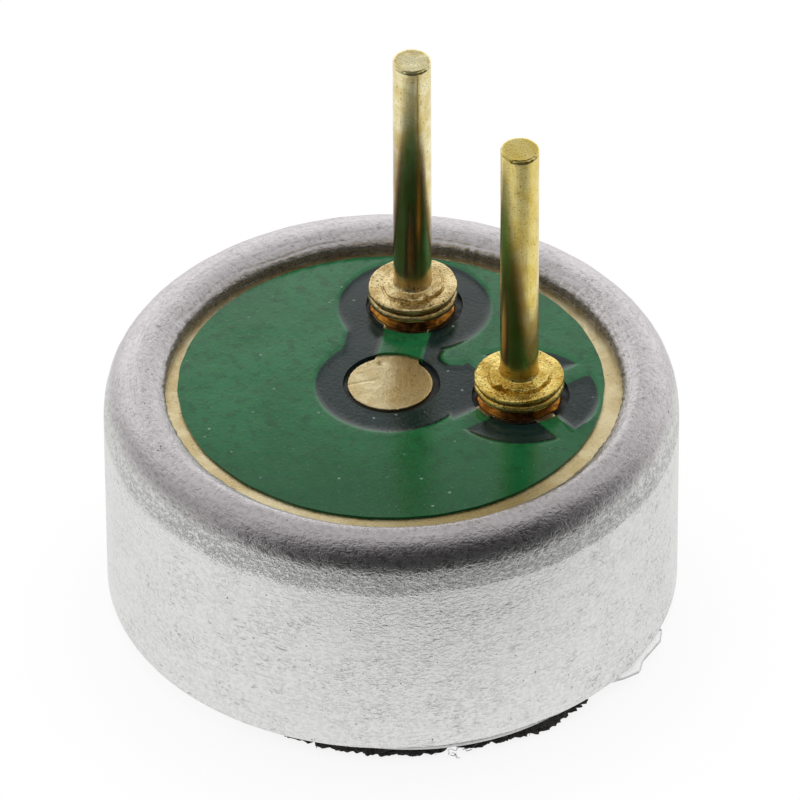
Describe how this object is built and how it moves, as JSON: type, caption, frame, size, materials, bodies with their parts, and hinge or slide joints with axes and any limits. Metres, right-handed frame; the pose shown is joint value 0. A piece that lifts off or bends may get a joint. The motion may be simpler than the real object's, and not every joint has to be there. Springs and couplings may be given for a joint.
{
  "type": "electret microphone capsule",
  "caption": "Small round electret microphone capsule: aluminium can with its rim folded over a green board, flanged gold pins on the back and black dust felt on the sound inlet.",
  "frame": {"origin": "foot of the capsule's axis, on the plane of the felt's face", "axes": "+Z from the sound inlet to the pins; the pin row lies along X, with the output pin on the -X side and both pins on the +Y side of the axis"},
  "size_m": [0.006, 0.006, 0.0058],
  "materials": {
    "case_aluminium": "satin, fine handling marks, burnished fold at the rim",
    "black_felt": "fuzzy felt",
    "clear_film": "clear film",
    "ring_brass": "stamped",
    "metallised_film": "vapour-coated",
    "spacer_plastic": "film",
    "electret_plastic": "film",
    "chamber_plastic": "moulded",
    "board_laminate": "glass-epoxy laminate",
    "plated_copper": "gold flash over nickel",
    "mask_green": "glossy lacquer",
    "transistor_plastic": "moulded",
    "tinned_metal": "tin plated",
    "solder": "reflowed solder",
    "capacitor_ceramic": "fired ceramic",
    "pin_gold": "polished gold flash",
    "pin_solder": "solder stained by the plating"
  },
  "bodies": {
    "root": {"case": "case_aluminium", "dust_felt": "black_felt", "felt_adhesive": "clear_film", "diaphragm_ring": "ring_brass", "diaphragm": "metallised_film", "spacer_ring": "spacer_plastic", "electret_film": "electret_plastic", "back_plate": "ring_brass", "insulating_chamber": "chamber_plastic", "gate_ring": "ring_brass", "board_core": "board_laminate", "outer_ground_copper": "plated_copper", "outer_output_copper": "plated_copper", "solder_mask": "mask_green", "output_via": "plated_copper", "ground_via": "plated_copper", "inner_output_copper": "plated_copper", "inner_ground_copper": "plated_copper", "inner_gate_copper": "plated_copper", "jfet_body": "transistor_plastic", "jfet_drain_lead": "tinned_metal", "jfet_source_lead": "tinned_metal", "jfet_gate_lead": "tinned_metal", "jfet_solder": "solder", "capacitor_1_body": "capacitor_ceramic", "capacitor_1_terminals": "tinned_metal", "capacitor_2_body": "capacitor_ceramic", "capacitor_2_terminals": "tinned_metal", "capacitor_solder": "solder", "output_pin": "pin_gold", "ground_pin": "pin_gold", "output_pin_solder": "pin_solder", "ground_pin_solder": "pin_solder"}
  },
  "joints": []
}
